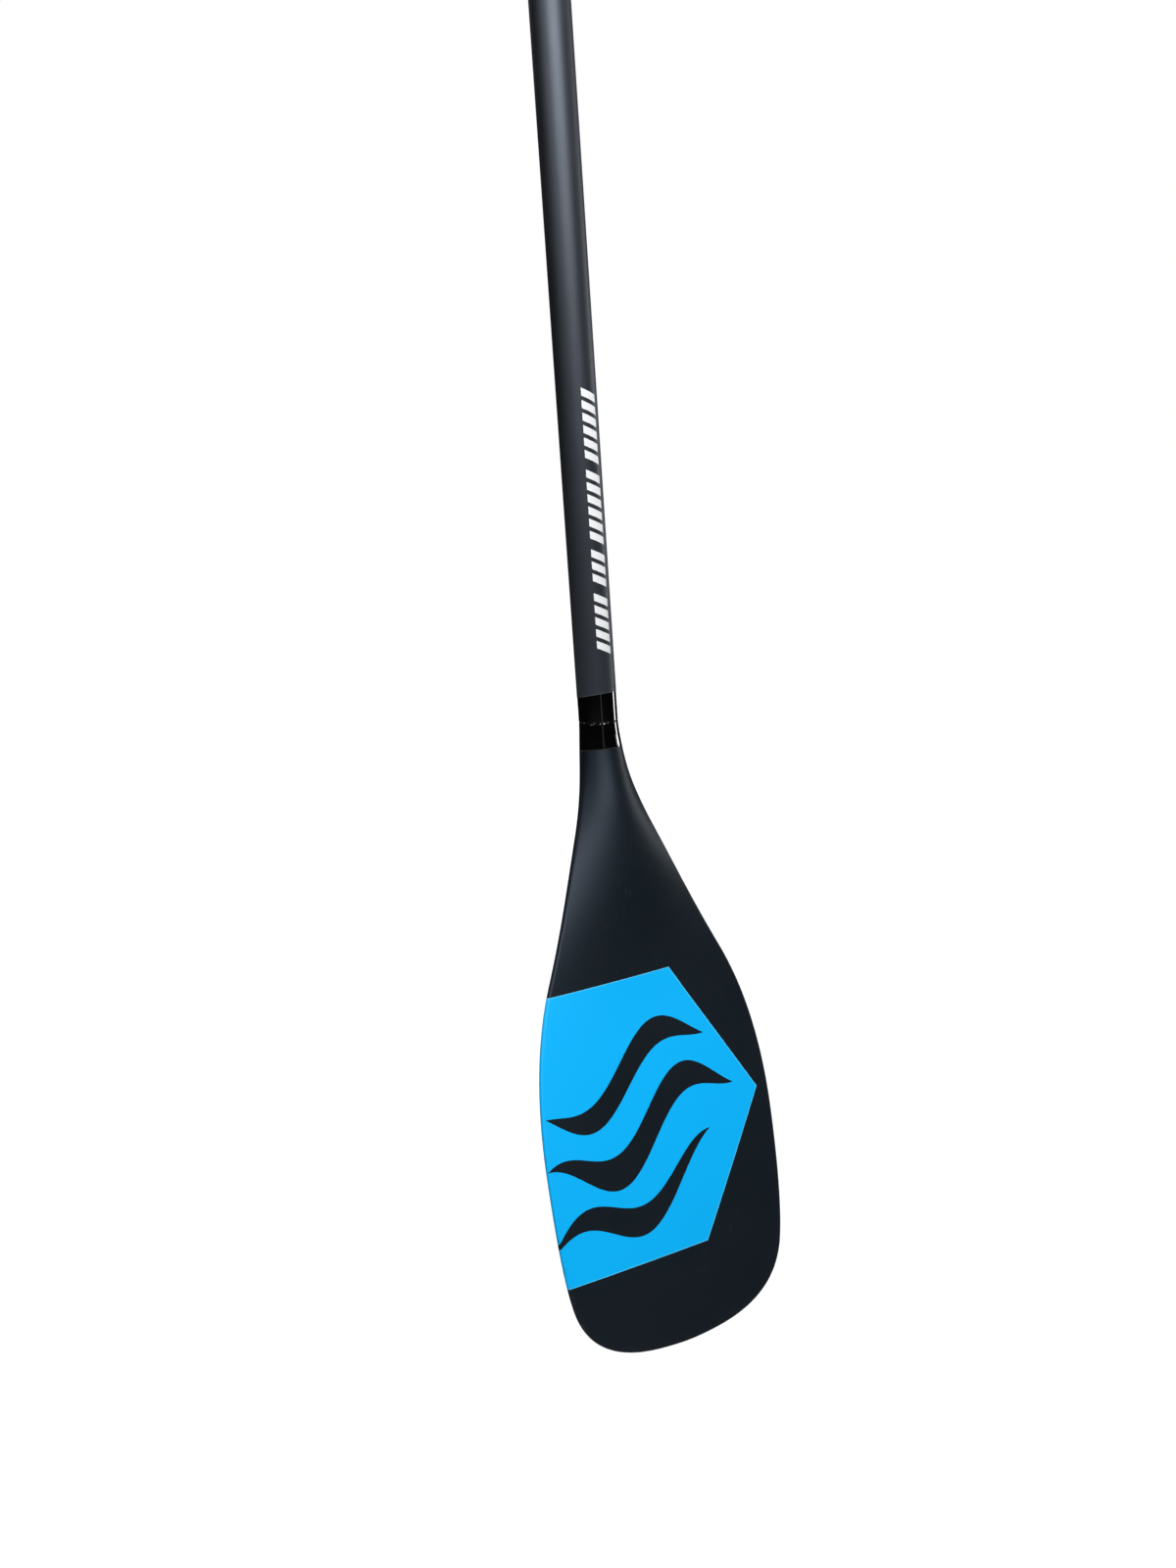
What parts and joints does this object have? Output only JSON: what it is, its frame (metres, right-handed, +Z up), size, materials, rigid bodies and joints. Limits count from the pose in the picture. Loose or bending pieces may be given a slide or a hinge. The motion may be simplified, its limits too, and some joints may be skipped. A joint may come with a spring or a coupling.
{
  "type": "stand-up paddle",
  "caption": "Adjustable stand-up paddle: raked symmetric blade on a matte tube shaft, lever clamp, sliding handle tube and T-grip.",
  "frame": {"origin": "on the shaft's axis where a holder or hand grips it, 400 mm above the joint between shaft and blade", "axes": "+Z up the shaft towards the T-grip, -Y the way the printed face looks, X across the blade"},
  "size_m": [0.1966, 0.1066, 1.8525],
  "materials": {
    "carbon_matte": "matte",
    "carbon_gloss": "gloss",
    "printed_face": "satin",
    "shaft_wrap": "matte",
    "foam": "matte",
    "nylon": "satin",
    "steel": "satin",
    "rubber": "matte",
    "palm_foam": "matte"
  },
  "bodies": {
    "paddle": {"blade_core": "foam", "blade_front_skin": "printed_face", "blade_back_skin": "carbon_matte", "neck_collar": "carbon_gloss", "blade_tenon": "carbon_gloss", "main_shaft": "carbon_gloss", "shaft_wrap": "shaft_wrap", "shaft_plug": "foam", "shaft_bushing": "nylon", "clamp_collar": "nylon", "clamp_pin": "steel", "clamp_bolt": "steel", "clamp_washer": "steel"},
    "lever": {"clamp_lever": "nylon"},
    "handle": {"handle_tube": "carbon_matte", "handle_guide": "nylon", "guide_rings": "rubber", "handle_plug": "foam", "grip_core": "nylon", "grip_pad": "palm_foam", "grip_rivet": "steel"}
  },
  "joints": [
    {"name": "handle_slide", "type": "slide", "parent": "paddle", "child": "handle", "axis": [0, 0, 1], "range_m": [-0.15, 0.3]},
    {"name": "clamp_lever_hinge", "type": "hinge", "parent": "paddle", "child": "lever", "pos_m": [0.01552, 0.025, 0.71], "axis": [0, 0, 1], "range_deg": [0, 150]}
  ]
}
